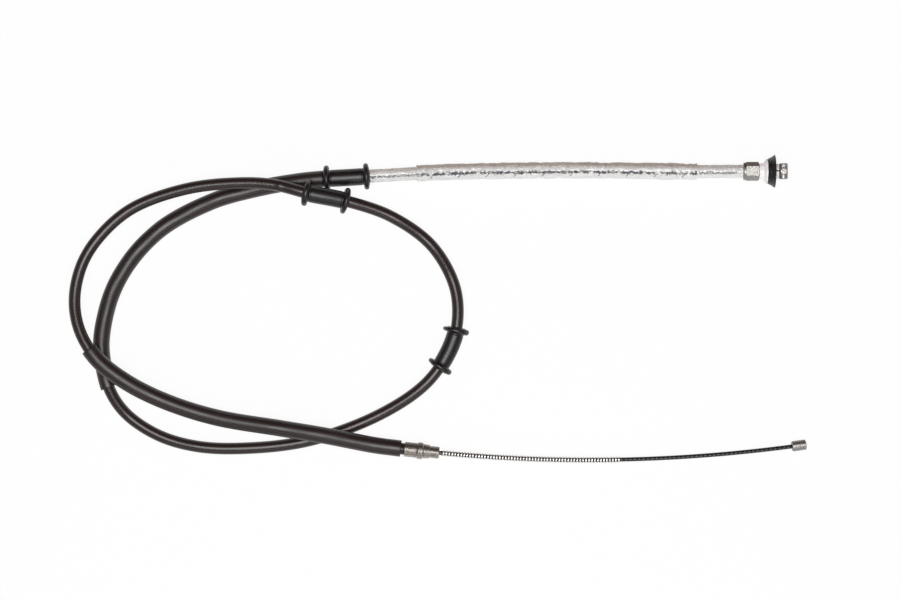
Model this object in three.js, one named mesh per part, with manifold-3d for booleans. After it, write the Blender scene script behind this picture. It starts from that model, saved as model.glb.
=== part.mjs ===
// A parking brake cable, laid down in one loop on a flat surface. A coated steel rope slides inside a
// sheathed casing. The casing carries two protective tubes, three grommets and a heat shield, and ends in a
// steel ferrule at each end.
// Millimetres, +Z up. The cable lies on z = 0 and its two ends point along +X. The origin is under the
// middle of its box.

import * as THREE from 'three';
import { mergeVertices } from 'three/addons/utils/BufferGeometryUtils.js';
import Module from 'manifold-3d';

// Rope and casing, from the inside out. The four layers of the casing share one line.
const ROPE_DIAMETER = 2.8;
const ROPE_CLEARANCE = 0.25;
const LINER_WALL = 0.45;
const WINDING_WALL = 0.75;
const SHEATH_WALL = 0.85;
const LAYER_CLEARANCE = 0.15;
const CASING_SIDES = 8;

// Protective tubes, pushed over the sheath where it would chafe. Distances are along the casing, from its
// brake end.
const TUBE_WALL = 1.2;
const TUBE_CLEARANCE = 0.4;
const TUBE_SIDES = 12;
const BRAKE_TUBE_START = 12.9;
const BRAKE_TUBE_LENGTH = 226;
const MIDDLE_TUBE_START = 912;

// Grommets, placed by their middles. The last one closes the end of the middle tube.
const GROMMET_LENGTH = 31;
const GROMMET_BODY_RADIUS = 5.8;
const GROMMET_FLANGE_RADIUS = 9;
const GROMMET_FLANGE_ROOT = 3.7;
const GROMMET_FLANGE_EDGE = 2.2;
const GROMMET_BORE_CLEARANCE = 0.35;
const GROMMET_SEGMENTS = 16;
const FIRST_GROMMET_MIDDLE = 486;
const SECOND_GROMMET_MIDDLE = 642;
const THIRD_GROMMET_MIDDLE = 1166;

// Foil on the sheath near the hot end, and the thicker shield round part of it, wound from a strip.
const FOIL_WALL = 0.25;
const SHIELD_WALL = 0.9;
const SHIELD_CLEARANCE = 0.3;
const SHIELD_LENGTH = 190;
const SHIELD_FROM_FERRULE = 31;
const SHIELD_STRIP_PITCH = 19;
const SHIELD_STRIP_STEP = 0.3;
const SHIELD_RINGS_PER_TURN = 3;

// Brake end. Its rope and coil lie on one wide arc, in a plane that slopes down to the nipple.
const ARC_RADIUS = 1057;
const ARC_CENTRE = [102.9, 954.65];
const ARC_SLOPE = THREE.MathUtils.degToRad(1.4);
const NOSE_FACE_X = -0.1;
const EXPOSED_LENGTH = 240.5;
const SLEEVE_LENGTH = 8.6;
const SLEEVE_RADIUS = 5;
const BEAD_LENGTH = 4;
const BEAD_RADIUS = 5.65;
const BEAD_ROUNDING = 0.6;
const STEP_LENGTH = 4.4;
const STEP_RADIUS = 4.9;
const STEP_END_RADIUS = 4.5;
const NOSE_LENGTH = 6.6;
const NOSE_RADIUS = 4;
const SLEEVE_GRIP = 10.4;
const BRAKE_NIPPLE_LENGTH = 9.6;
const BRAKE_NIPPLE_RADIUS = 3.5;
const BRAKE_NIPPLE_ROUNDING = 0.5;
const ROPE_SEAT_DEPTH = 7.5;
const COIL_LENGTH = 123.6;
const COIL_PITCH = 2.02;
const COIL_STRIP_WIDTH = 1.05;
const COIL_STRIP_THICKNESS = 0.45;
const COIL_STEPS_PER_TURN = 8;

// Lever end. Its pieces stand on one straight axis that rises to the nipple, because the seal lifts it off
// the surface.
const LEVER_FACE = [216.2, 93.25];
const LEVER_SLOPE = THREE.MathUtils.degToRad(2.5);
const HEX_LENGTH = 8.2;
const HEX_CORNER_RADIUS = 6.4;
const MOUTH_LENGTH = 2;
const MOUTH_RADIUS = 5.9;
const CRIMP_SHOULDER = 0.4;
const FERRULE_END_WALL = 0.8;
const BUSH_BARREL_LENGTH = 3.2;
const BUSH_BARREL_RADIUS = 5.4;
const BUSH_FLARE_LENGTH = 1.8;
const BUSH_FLANGE_RADIUS = 8.3;
const BUSH_FLANGE_EDGE = 0.5;
const BUSH_NECK_RADIUS = 4.6;
const BUSH_NOSE_RADIUS = 5.1;
const BUSH_NOSE_LENGTH = 3.2;
const BUSH_SLOT_WIDTH = 0.9;
const BUSH_SLOT_DEPTH = 2.4;
const BUSH_NOSE_ROUNDING = 0.5;
const SEAL_LENGTH = 4.8;
const SEAL_BACK_RADIUS = 8.6;
const SEAL_FRONT_RADIUS = 11.2;
const SEAL_LIP_DEPTH = 0.9;
const SEAL_LIP_WIDTH = 1.6;
const SEAL_LIP_EDGE = 0.9;
const BARREL_LENGTH = 10.6;
const BARREL_RADIUS = 2.95;
const BARREL_CHAMFER = 0.5;
const BARREL_SEAT_DEPTH = 1.5;
const BOSS_RADIUS = 2.3;
const BOSS_HEIGHT = 0.4;

// Fits and edges that many pieces share.
const SEAT_GAP = 0.3;
const EDGE_BREAK = 0.3;
const ROPE_SEAT_CLEARANCE = 0.15;
const TRAVEL = 25;
const STUB_ENGAGEMENT = 6;
const STRAIGHT_RUN = TRAVEL + STUB_ENGAGEMENT;
const STATION_STEP = 29;
const TURNED_SEGMENTS = 16;
const FINE_SEGMENTS = 24;
const CUT_MARGIN = 1;

const UP = new THREE.Vector3(0, 0, 1);

const ropeRadius = ROPE_DIAMETER / 2;
const linerInner = ropeRadius + ROPE_CLEARANCE;
const linerOuter = linerInner + LINER_WALL;
const windingInner = linerOuter + LAYER_CLEARANCE;
const windingOuter = windingInner + WINDING_WALL;
const sheathInner = windingOuter + LAYER_CLEARANCE;
const sheathRadius = sheathInner + SHEATH_WALL;
const tubeInner = sheathRadius + TUBE_CLEARANCE;
const tubeOuter = tubeInner + TUBE_WALL;
const foilInner = sheathRadius + LAYER_CLEARANCE;
const foilOuter = foilInner + FOIL_WALL;
const shieldInner = foilOuter + SHIELD_CLEARANCE;
const shieldOuter = shieldInner + SHIELD_WALL;
const brakeFerruleLength = SLEEVE_LENGTH + BEAD_LENGTH + STEP_LENGTH + NOSE_LENGTH;
const leverFerruleLength = HEX_LENGTH + MOUTH_LENGTH;

// Finishes.
const paint = (color, roughness, metalness) => (
  new THREE.MeshStandardMaterial({ color, roughness, metalness })
);
const blackSheath = () => paint('#241d1c', 0.42, 0);
const blackRubber = () => paint('#1d191a', 0.7, 0);
const rope = () => paint('#141213', 0.35, 0);
const castZinc = () => paint('#77746f', 0.5, 1);
const brightSteel = () => paint('#b9b7b4', 0.3, 1);
const whitePlastic = () => paint('#e6e2e1', 0.45, 0);
const foil = () => paint('#c9c7c4', 0.3, 1);

// The brake end stands in a group of its own, turned about Y so that its arc slopes down to the nipple.
// Distances on the arc count from the ferrule's nose face, and grow towards the nipple.
const noseAngle = Math.asin((NOSE_FACE_X - ARC_CENTRE[0]) / ARC_RADIUS);
const arcAngle = (distance) => noseAngle + distance / ARC_RADIUS;
const nippleMiddle = EXPOSED_LENGTH + BRAKE_NIPPLE_LENGTH / 2;
const nippleTilt = (BRAKE_NIPPLE_LENGTH / 2) * Math.sin(ARC_SLOPE);
const nippleRest = BRAKE_NIPPLE_RADIUS * Math.cos(ARC_SLOPE) + nippleTilt;
const brakeEnd = new THREE.Group();
brakeEnd.rotation.y = ARC_SLOPE;
brakeEnd.position.set(
  ARC_CENTRE[0],
  ARC_CENTRE[1],
  nippleRest + ARC_RADIUS * Math.sin(arcAngle(nippleMiddle)) * Math.sin(ARC_SLOPE),
);
brakeEnd.updateMatrixWorld(true);

function arcFrame(distance) {
  const angle = arcAngle(distance);
  return {
    point: new THREE.Vector3(ARC_RADIUS * Math.sin(angle), -ARC_RADIUS * Math.cos(angle), 0),
    tangent: new THREE.Vector3(Math.cos(angle), Math.sin(angle), 0),
    side: new THREE.Vector3(-Math.sin(angle), Math.cos(angle), 0),
    up: UP.clone(),
  };
}

// The lever end stands in a group of its own too. Its X axis is the cable's, from the face where ferrule and
// bush meet.
const neckStart = BUSH_BARREL_LENGTH + BUSH_FLARE_LENGTH + BUSH_FLANGE_EDGE + SEAT_GAP;
const sealStart = neckStart + SEAT_GAP;
const sealEnd = sealStart + SEAL_LENGTH;
const noseStart = sealEnd - SEAL_LIP_DEPTH + SEAT_GAP;
const noseEnd = noseStart + BUSH_NOSE_LENGTH;
const barrelMiddle = noseEnd + SEAT_GAP + BARREL_RADIUS;
const leverEnd = new THREE.Group();
leverEnd.rotation.y = -LEVER_SLOPE;
leverEnd.position.set(
  LEVER_FACE[0],
  LEVER_FACE[1],
  SEAL_FRONT_RADIUS * Math.cos(LEVER_SLOPE) - sealEnd * Math.sin(LEVER_SLOPE),
);
leverEnd.updateMatrixWorld(true);

// The casing's line. It starts inside the brake-end ferrule and leaves it on the arc, follows points chosen
// by hand round the loop, and ends inside the lever-end ferrule on that end's axis.
const casingStart = SLEEVE_GRIP - brakeFerruleLength;
const ROUTE = [
  [-78.1, -85.25, 14.8], [-107.1, -80.55, 13.2], [-151.1, -73.35, 10.9], [-186.1, -62.05, 12.6],
  [-212.1, -48.55, 15.9], [-231.1, -33.05, 17.6], [-242.5, -14.05, 16.8], [-246.1, 6.45, 15.1],
  [-241.6, 29.45, 13.6], [-230.1, 48.45, 12.7], [-208.1, 67.75, 12.5], [-171.1, 81.15, 14.0],
  [-134.1, 85.05, 16.3], [-110.6, 83.65, 18.2], [-87.8, 77.85, 20.4], [-62.1, 72.75, 16.4],
  [-32.1, 62.45, 10.8], [-5.1, 42.95, 7.9], [10.4, 15.45, 7.9], [12.2, -9.55, 9.3],
  [6.4, -28.55, 9.4], [-9.1, -50.55, 8.6], [-41.1, -72.05, 5.0], [-89.1, -89.55, 4.1],
  [-135.1, -94.75, 4.1], [-166.1, -93.15, 4.1], [-191.1, -85.75, 4.1], [-212.1, -71.85, 4.6],
  [-222.8, -57.05, 5.6], [-227.9, -39.55, 5.8], [-229.1, -17.55, 5.8], [-218.6, 18.95, 5.8],
  [-192.6, 51.45, 5.8], [-154.1, 73.15, 5.8], [-115.1, 83.45, 6.8], [-88.1, 87.45, 8.9],
  [-61.6, 89.15, 9.5], [-31.1, 91.05, 8.0], [3.9, 92.95, 6.0], [88.9, 94.25, 6.0],
];
const casingStop = -FERRULE_END_WALL - SEAT_GAP;
const ON_ARC = [casingStart, casingStart - STRAIGHT_RUN / 2, casingStart - STRAIGHT_RUN];
const ON_LEVER_AXIS = [casingStop - 1.5 * STRAIGHT_RUN, casingStop - 0.75 * STRAIGHT_RUN, casingStop];
const casingLine = new THREE.CatmullRomCurve3([
  ...ON_ARC.map((distance) => brakeEnd.localToWorld(arcFrame(distance).point)),
  ...ROUTE.map((point) => new THREE.Vector3(...point)),
  ...ON_LEVER_AXIS.map((x) => leverEnd.localToWorld(new THREE.Vector3(x, 0, 0))),
]);
casingLine.arcLengthDivisions = 2000;
const casingLength = casingLine.getLength();

function casingFrame(distance) {
  const share = THREE.MathUtils.clamp(distance / casingLength, 0, 1);
  const tangent = casingLine.getTangentAt(share);
  const side = new THREE.Vector3().crossVectors(UP, tangent).normalize();
  return {
    point: casingLine.getPointAt(share),
    tangent,
    side,
    up: new THREE.Vector3().crossVectors(tangent, side),
  };
}

// Places along the casing where something starts or ends. Every layer bends at the same stations, so that a
// tube and what it covers stay parallel.
const brakeTubeEnd = BRAKE_TUBE_START + BRAKE_TUBE_LENGTH;
const grommetMiddles = [FIRST_GROMMET_MIDDLE, SECOND_GROMMET_MIDDLE, THIRD_GROMMET_MIDDLE];
const middleTubeEnd = THIRD_GROMMET_MIDDLE - GROMMET_LENGTH / 2 - SEAT_GAP;
const foilStart = THIRD_GROMMET_MIDDLE + GROMMET_LENGTH / 2 + SEAT_GAP;
const foilEnd = casingLength - leverFerruleLength + FERRULE_END_WALL;
const shieldEnd = foilEnd - SHIELD_FROM_FERRULE;
const shieldStart = shieldEnd - SHIELD_LENGTH;
const hiddenRopeStart = STRAIGHT_RUN + SEAT_GAP;
const hiddenRopeEnd = casingLength - hiddenRopeStart;

function stationsAlong() {
  const fixed = [
    0, BRAKE_TUBE_START, hiddenRopeStart, brakeTubeEnd, MIDDLE_TUBE_START, middleTubeEnd,
    ...grommetMiddles.flatMap((middle) => [middle - GROMMET_LENGTH / 2, middle, middle + GROMMET_LENGTH / 2]),
    foilStart, shieldStart, shieldEnd, hiddenRopeEnd, foilEnd, casingLength,
  ].sort((a, b) => a - b);
  const stations = [fixed[0]];
  for (let i = 1; i < fixed.length; i += 1) {
    const span = fixed[i] - fixed[i - 1];
    const steps = Math.ceil(span / STATION_STEP);
    for (let step = 1; step <= steps; step += 1) {
      stations.push(fixed[i - 1] + (span * step) / steps);
    }
  }
  return stations;
}
const stations = stationsAlong();
const isBetween = (station, from, to) => station >= from - 1e-6 && station <= to + 1e-6;

// A path for ExtrudeGeometry that stops at given frames. Its cross-sections keep one side level, so they
// never twist.
class FramedPath extends THREE.Curve {
  constructor(frames) {
    super();
    this.frames = frames;
  }

  getSpacedPoints() {
    return this.frames.map((frame) => frame.point);
  }

  computeFrenetFrames() {
    return {
      tangents: this.frames.map((frame) => frame.tangent),
      normals: this.frames.map((frame) => frame.side),
      binormals: this.frames.map((frame) => frame.up),
    };
  }
}

const casingPath = (from, to) => new FramedPath(
  stations.filter((station) => isBetween(station, from, to)).map(casingFrame),
);

function arcPath(from, to, step) {
  const steps = Math.ceil((to - from) / step);
  const frames = [];
  for (let i = 0; i <= steps; i += 1) {
    frames.push(arcFrame(from + ((to - from) * i) / steps));
  }
  return new FramedPath(frames);
}

function ring(radius, sides) {
  const points = [];
  for (let i = 0; i < sides; i += 1) {
    const angle = (2 * Math.PI * i) / sides;
    points.push(new THREE.Vector2(radius * Math.cos(angle), radius * Math.sin(angle)));
  }
  return points;
}

function along(path, section) {
  return new THREE.ExtrudeGeometry(section, {
    steps: path.frames.length - 1,
    bevelEnabled: false,
    extrudePath: path,
  });
}

function rod(path, radius, sides) {
  return along(path, new THREE.Shape(ring(radius, sides)));
}

function tube(path, outerRadius, innerRadius, sides) {
  const section = new THREE.Shape(ring(outerRadius, sides));
  section.holes.push(new THREE.Path(ring(innerRadius, sides)));
  return along(path, section);
}

// A turned piece. Its profile holds [distance along the axis, radius] pairs: outside first, then back along
// the bore.
function turned(profile, segments = TURNED_SEGMENTS) {
  const closed = [...profile, profile[0]];
  const outline = closed.map(([distance, radius]) => new THREE.Vector2(radius, distance));
  return new THREE.LatheGeometry(outline, segments);
}

// A rounded outer edge of a turned piece, for its profile: from the near face to the outside, or on to the
// far face.
function nearEdge([distance, radius], rounding) {
  return [0, Math.PI / 4, Math.PI / 2].map((angle) => [
    distance + rounding * (1 - Math.cos(angle)),
    radius - rounding * (1 - Math.sin(angle)),
  ]);
}

const farEdge = ([distance, radius], rounding) => nearEdge([-distance, radius], rounding)
  .map(([mirrored, edge]) => [-mirrored, edge])
  .reverse();

// A turned piece with its axis along X, for the two ends.
const turnedAlongX = (profile, segments) => turned(profile, segments).rotateZ(-Math.PI / 2);

// Bends a turned piece so that its axis follows the casing, from the given place on.
function bentOntoCasing(geometry, start) {
  const position = geometry.attributes.position;
  for (let i = 0; i < position.count; i += 1) {
    const { point, side, up } = casingFrame(start + position.getY(i));
    point.addScaledVector(side, position.getX(i)).addScaledVector(up, -position.getZ(i));
    position.setXYZ(i, point.x, point.y, point.z);
  }
  return geometry;
}

// Joins and cuts.
const wasm = await Module();
wasm.setup();

function toSolid(geometry) {
  const bare = geometry.clone();
  bare.deleteAttribute('normal');
  bare.deleteAttribute('uv');
  const merged = mergeVertices(bare, 1e-4);
  return new wasm.Manifold(new wasm.Mesh({
    numProp: 3,
    vertProperties: new Float32Array(merged.attributes.position.array),
    triVerts: new Uint32Array(merged.index.array),
  }));
}

function fromSolid(solid) {
  const mesh = solid.getMesh();
  const geometry = new THREE.BufferGeometry();
  geometry.setAttribute('position', new THREE.BufferAttribute(mesh.vertProperties, 3));
  geometry.setIndex(new THREE.BufferAttribute(mesh.triVerts, 1));
  return geometry.toNonIndexed();
}

const cable = new THREE.Group();
cable.name = 'parking_brake_cable';
cable.add(brakeEnd, leverEnd);

function piece(name, geometry, material, carrier = cable) {
  const mesh = new THREE.Mesh(geometry, material);
  mesh.name = name;
  carrier.add(mesh);
  return mesh;
}

// Stands a straight piece on the arc, with its own origin at the given distance.
function onArc(mesh, distance) {
  mesh.position.copy(arcFrame(distance).point);
  mesh.rotation.z = arcAngle(distance);
}

// Casing: sheath over a wound steel conduit over a plastic liner, and the part of the rope that never comes
// out of it.
function makeCasing() {
  const whole = casingPath(0, casingLength);
  piece('casing_sheath', tube(whole, sheathRadius, sheathInner, CASING_SIDES), blackSheath());
  piece('casing_winding', tube(whole, windingOuter, windingInner, CASING_SIDES), brightSteel());
  piece('casing_liner', tube(whole, linerOuter, linerInner, CASING_SIDES), whitePlastic());
  piece('inner_rope', rod(casingPath(hiddenRopeStart, hiddenRopeEnd), ropeRadius, CASING_SIDES), rope());
}

function makeTubes() {
  const brakeTube = casingPath(BRAKE_TUBE_START, brakeTubeEnd);
  const middleTube = casingPath(MIDDLE_TUBE_START, middleTubeEnd);
  piece('brake_side_tube', tube(brakeTube, tubeOuter, tubeInner, TUBE_SIDES), blackSheath());
  piece('middle_tube', tube(middleTube, tubeOuter, tubeInner, TUBE_SIDES), blackSheath());
}

// A grommet is a plain rubber body with a thick round-edged flange at each end.
function grommetProfile() {
  const bore = sheathRadius + GROMMET_BORE_CLEARANCE;
  const tipStart = (GROMMET_FLANGE_ROOT - GROMMET_FLANGE_EDGE) / 2;
  const rounding = GROMMET_FLANGE_EDGE / 2;
  const flange = [
    [0, GROMMET_BODY_RADIUS],
    ...nearEdge([tipStart, GROMMET_FLANGE_RADIUS], rounding),
    ...farEdge([tipStart + GROMMET_FLANGE_EDGE, GROMMET_FLANGE_RADIUS], rounding).slice(1),
    [GROMMET_FLANGE_ROOT, GROMMET_BODY_RADIUS],
  ];
  const farFlange = flange.map(([distance, radius]) => [GROMMET_LENGTH - distance, radius]).reverse();
  return [
    ...flange,
    [GROMMET_LENGTH / 2, GROMMET_BODY_RADIUS],
    ...farFlange,
    [GROMMET_LENGTH, bore],
    [GROMMET_LENGTH / 2, bore],
    [0, bore],
  ];
}

function makeGrommets() {
  ['brake_side_grommet', 'loop_grommet', 'shield_side_grommet'].forEach((name, i) => {
    const geometry = turned(grommetProfile(), GROMMET_SEGMENTS);
    piece(name, bentOntoCasing(geometry, grommetMiddles[i] - GROMMET_LENGTH / 2), blackRubber());
  });
}

// The shield is wound from a strip whose laps overlap, so its outside steps down once a turn along a helix.
function makeHeatShield() {
  const turns = SHIELD_LENGTH / SHIELD_STRIP_PITCH;
  const rings = Math.round(turns * SHIELD_RINGS_PER_TURN);
  const outside = [];
  for (let i = 0; i <= rings; i += 1) {
    outside.push([(SHIELD_LENGTH * i) / rings, shieldOuter]);
  }
  const inside = stations
    .filter((station) => isBetween(station, shieldStart, shieldEnd))
    .map((station) => [station - shieldStart, shieldInner])
    .reverse();
  const geometry = turned([...outside, ...inside], TUBE_SIDES);
  const position = geometry.attributes.position;
  for (let i = 0; i < position.count; i += 1) {
    const [x, y, z] = [position.getX(i), position.getY(i), position.getZ(i)];
    const radius = Math.hypot(x, z);
    if (radius > (shieldInner + shieldOuter) / 2) {
      const turn = y / SHIELD_STRIP_PITCH - Math.atan2(z, x) / (2 * Math.PI);
      const lap = turn - Math.floor(turn + 1e-6);
      const lapped = radius - SHIELD_STRIP_STEP * lap;
      position.setXYZ(i, (x * lapped) / radius, y, (z * lapped) / radius);
    }
  }
  piece('heat_shield', bentOntoCasing(geometry, shieldStart), foil());
}

function makeFoil() {
  piece('foil_wrap', tube(casingPath(foilStart, foilEnd), foilOuter, foilInner, CASING_SIDES), foil());
}

// The ferrule is swaged round the casing's end. Its bead stops it in the backplate, and its narrow nose
// points out.
function makeBrakeFerrule() {
  const bore = sheathRadius + SEAT_GAP;
  const noseBore = ropeRadius + ROPE_CLEARANCE;
  const beadEnd = SLEEVE_LENGTH + BEAD_LENGTH;
  const stepEnd = beadEnd + STEP_LENGTH;
  const profile = [
    [0, SLEEVE_RADIUS - EDGE_BREAK], [EDGE_BREAK, SLEEVE_RADIUS], [SLEEVE_LENGTH, SLEEVE_RADIUS],
    ...nearEdge([SLEEVE_LENGTH, BEAD_RADIUS], BEAD_ROUNDING),
    ...farEdge([beadEnd, BEAD_RADIUS], BEAD_ROUNDING),
    [beadEnd, STEP_RADIUS], [stepEnd, STEP_END_RADIUS], [stepEnd, NOSE_RADIUS],
    [brakeFerruleLength - EDGE_BREAK, NOSE_RADIUS], [brakeFerruleLength, NOSE_RADIUS - EDGE_BREAK],
    [brakeFerruleLength, noseBore], [SLEEVE_GRIP + SEAT_GAP, noseBore],
    [SLEEVE_GRIP + SEAT_GAP, bore], [0, bore],
  ];
  const middle = -brakeFerruleLength / 2;
  const geometry = turnedAlongX(profile).translate(middle, 0, 0);
  onArc(piece('brake_end_ferrule', geometry, castZinc(), brakeEnd), middle);
}

// A flat strip wound round the rope, left-handed, from the ferrule's nose to about half way along.
function makeGuardCoil() {
  const strandRadius = ropeRadius + ROPE_CLEARANCE + COIL_STRIP_THICKNESS / 2;
  const first = SEAT_GAP + COIL_STRIP_WIDTH;
  const turns = Math.floor((COIL_LENGTH - first) / COIL_PITCH);
  const frames = [];
  for (let i = 0; i <= turns * COIL_STEPS_PER_TURN; i += 1) {
    const turn = i / COIL_STEPS_PER_TURN;
    const angle = -2 * Math.PI * turn;
    const core = arcFrame(first + COIL_PITCH * turn);
    const [cosine, sine] = [Math.cos(angle), Math.sin(angle)];
    const outward = core.side.clone().multiplyScalar(cosine).addScaledVector(core.up, sine);
    const round = core.side.clone().multiplyScalar(sine).addScaledVector(core.up, -cosine);
    const tangent = round.multiplyScalar(2 * Math.PI * strandRadius)
      .addScaledVector(core.tangent, COIL_PITCH)
      .normalize();
    frames.push({
      point: core.point.addScaledVector(outward, strandRadius),
      tangent,
      side: outward,
      up: new THREE.Vector3().crossVectors(tangent, outward),
    });
  }
  const [x, y] = [COIL_STRIP_THICKNESS / 2, COIL_STRIP_WIDTH / 2];
  const section = new THREE.Shape([[-x, -y], [x, -y], [x, y], [-x, y]].map((p) => new THREE.Vector2(...p)));
  piece('guard_coil', along(new FramedPath(frames), section), brightSteel(), brakeEnd);
}

// The rope's brake end moves with its nipple. At rest its hidden end reaches a little way into the casing.
function makeBrakeRope() {
  const from = casingStart - STUB_ENGAGEMENT;
  const to = EXPOSED_LENGTH + ROPE_SEAT_DEPTH;
  piece('brake_end_rope', rod(arcPath(from, to, STATION_STEP), ropeRadius, CASING_SIDES), rope(), brakeEnd);

  const seat = ropeRadius + ROPE_SEAT_CLEARANCE;
  const profile = [
    ...nearEdge([0, BRAKE_NIPPLE_RADIUS], BRAKE_NIPPLE_ROUNDING),
    ...farEdge([BRAKE_NIPPLE_LENGTH, BRAKE_NIPPLE_RADIUS], BRAKE_NIPPLE_ROUNDING), [BRAKE_NIPPLE_LENGTH, 0],
    [ROPE_SEAT_DEPTH + SEAT_GAP, 0], [ROPE_SEAT_DEPTH + SEAT_GAP, seat], [0, seat],
  ];
  const geometry = turnedAlongX(profile).translate(-BRAKE_NIPPLE_LENGTH / 2, 0, 0);
  onArc(piece('brake_end_nipple', geometry, castZinc(), brakeEnd), nippleMiddle);
}

// The lever-end ferrule is crimped to a hexagon round the casing, and keeps a round mouth and an end wall.
function makeLeverFerrule() {
  const bore = sheathRadius + SEAT_GAP;
  const blank = turnedAlongX([
    [-leverFerruleLength, MOUTH_RADIUS - EDGE_BREAK], [EDGE_BREAK - leverFerruleLength, MOUTH_RADIUS],
    [-HEX_LENGTH - CRIMP_SHOULDER, MOUTH_RADIUS], [-HEX_LENGTH, HEX_CORNER_RADIUS],
    [-EDGE_BREAK, HEX_CORNER_RADIUS], [0, HEX_CORNER_RADIUS - EDGE_BREAK],
    [0, ropeRadius + ROPE_CLEARANCE], [-FERRULE_END_WALL, ropeRadius + ROPE_CLEARANCE],
    [-FERRULE_END_WALL, bore], [-leverFerruleLength, bore],
  ], FINE_SEGMENTS);
  const hexStart = -HEX_LENGTH - CRIMP_SHOULDER;
  const hexagon = new THREE.ExtrudeGeometry(new THREE.Shape(ring(HEX_CORNER_RADIUS, 6)), {
    depth: HEX_LENGTH + CRIMP_SHOULDER + CUT_MARGIN,
    bevelEnabled: false,
  }).rotateY(Math.PI / 2).rotateX(Math.PI / 2).translate(hexStart, 0, 0);
  const mouthStart = -leverFerruleLength - CUT_MARGIN;
  const mouth = turnedAlongX([[mouthStart, 0], [mouthStart, MOUTH_RADIUS + CUT_MARGIN],
    [hexStart, MOUTH_RADIUS + CUT_MARGIN], [hexStart, 0]]);
  const crimped = toSolid(blank).intersect(toSolid(hexagon).add(toSolid(mouth)));
  piece('lever_end_ferrule', fromSolid(crimped), brightSteel(), leverEnd);
}

// The bush guides the rope out. Its split nose snaps through the seal and holds it against the flange.
function makeBushAndSeal() {
  const bore = ropeRadius + ROPE_CLEARANCE;
  const flareEnd = BUSH_BARREL_LENGTH + BUSH_FLARE_LENGTH;
  const body = toSolid(turnedAlongX([
    [SEAT_GAP, BUSH_BARREL_RADIUS], [BUSH_BARREL_LENGTH, BUSH_BARREL_RADIUS], [flareEnd, BUSH_FLANGE_RADIUS],
    [neckStart, BUSH_FLANGE_RADIUS], [neckStart, BUSH_NECK_RADIUS],
    [noseStart, BUSH_NECK_RADIUS], [noseStart, BUSH_NOSE_RADIUS],
    ...farEdge([noseEnd, BUSH_NOSE_RADIUS], BUSH_NOSE_ROUNDING), [noseEnd, bore], [SEAT_GAP, bore],
  ], FINE_SEGMENTS));
  const slotLength = BUSH_SLOT_DEPTH + CUT_MARGIN;
  const slotMiddle = noseEnd - BUSH_SLOT_DEPTH + slotLength / 2;
  const slotSpan = 2 * (BUSH_NOSE_RADIUS + CUT_MARGIN);
  const upright = new THREE.BoxGeometry(slotLength, BUSH_SLOT_WIDTH, slotSpan);
  const level = new THREE.BoxGeometry(slotLength, slotSpan, BUSH_SLOT_WIDTH);
  const slots = toSolid(upright.translate(slotMiddle, 0, 0)).add(toSolid(level.translate(slotMiddle, 0, 0)));
  piece('lever_end_bush', fromSolid(body.subtract(slots)), whitePlastic(), leverEnd);

  const sealBore = BUSH_NECK_RADIUS + SEAT_GAP;
  const lipStart = sealEnd - SEAL_LIP_DEPTH;
  const seal = turnedAlongX([
    [sealStart, SEAL_BACK_RADIUS - EDGE_BREAK], [sealStart + EDGE_BREAK, SEAL_BACK_RADIUS],
    [sealEnd, SEAL_FRONT_RADIUS], [sealEnd, SEAL_FRONT_RADIUS - SEAL_LIP_EDGE],
    [lipStart, SEAL_FRONT_RADIUS - SEAL_LIP_WIDTH],
    [lipStart, sealBore], [sealStart, sealBore],
  ], FINE_SEGMENTS);
  piece('lever_end_seal', seal, blackRubber(), leverEnd);
}

// The lever-end nipple is a barrel across the rope, with a round boss on top. Its rope stays in the casing
// as it moves.
function makeLeverRope() {
  const seatEnd = barrelMiddle + BARREL_SEAT_DEPTH;
  const stubStart = casingStop - STRAIGHT_RUN;
  const frames = [stubStart, seatEnd].map((x) => ({
    point: new THREE.Vector3(x, 0, 0),
    tangent: new THREE.Vector3(1, 0, 0),
    side: new THREE.Vector3(0, 1, 0),
    up: UP.clone(),
  }));
  piece('lever_end_rope', rod(new FramedPath(frames), ropeRadius, CASING_SIDES), rope(), leverEnd);

  const half = BARREL_LENGTH / 2;
  const bossTop = BARREL_RADIUS + BOSS_HEIGHT;
  const seat = ropeRadius + ROPE_SEAT_CLEARANCE;
  const seatDepth = seatEnd - barrelMiddle + SEAT_GAP;
  const barrel = toSolid(turned([
    [-half, 0], [-half, BARREL_RADIUS - BARREL_CHAMFER], [BARREL_CHAMFER - half, BARREL_RADIUS],
    [half - BARREL_CHAMFER, BARREL_RADIUS], [half, BARREL_RADIUS - BARREL_CHAMFER], [half, 0],
  ], FINE_SEGMENTS));
  const boss = toSolid(turned(
    [[0, 0], [0, BOSS_RADIUS], [bossTop, BOSS_RADIUS], [bossTop, 0]],
    FINE_SEGMENTS,
  ).rotateX(Math.PI / 2));
  const mouth = -BARREL_RADIUS - CUT_MARGIN;
  const bore = toSolid(turnedAlongX([[mouth, 0], [mouth, seat], [seatDepth, seat], [seatDepth, 0]]));
  const nipple = piece('lever_end_nipple', fromSolid(barrel.add(boss).subtract(bore)), castZinc(), leverEnd);
  nipple.position.x = barrelMiddle;
}

makeCasing();
makeTubes();
makeGrommets();
makeFoil();
makeHeatShield();
makeBrakeFerrule();
makeGuardCoil();
makeBrakeRope();
makeLeverFerrule();
makeBushAndSeal();
makeLeverRope();

export default cable;
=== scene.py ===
"""A parking brake cable: the finish of every piece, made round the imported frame. Metres, +Z up.

It's laid out as an add-on, with one operator for each piece or group of like pieces, and runs as a script.
"""

import math

import bmesh
import bpy
import numpy as np
from bpy.props import FloatProperty, FloatVectorProperty, IntProperty, PointerProperty
from mathutils import Matrix, Vector, noise


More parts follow.
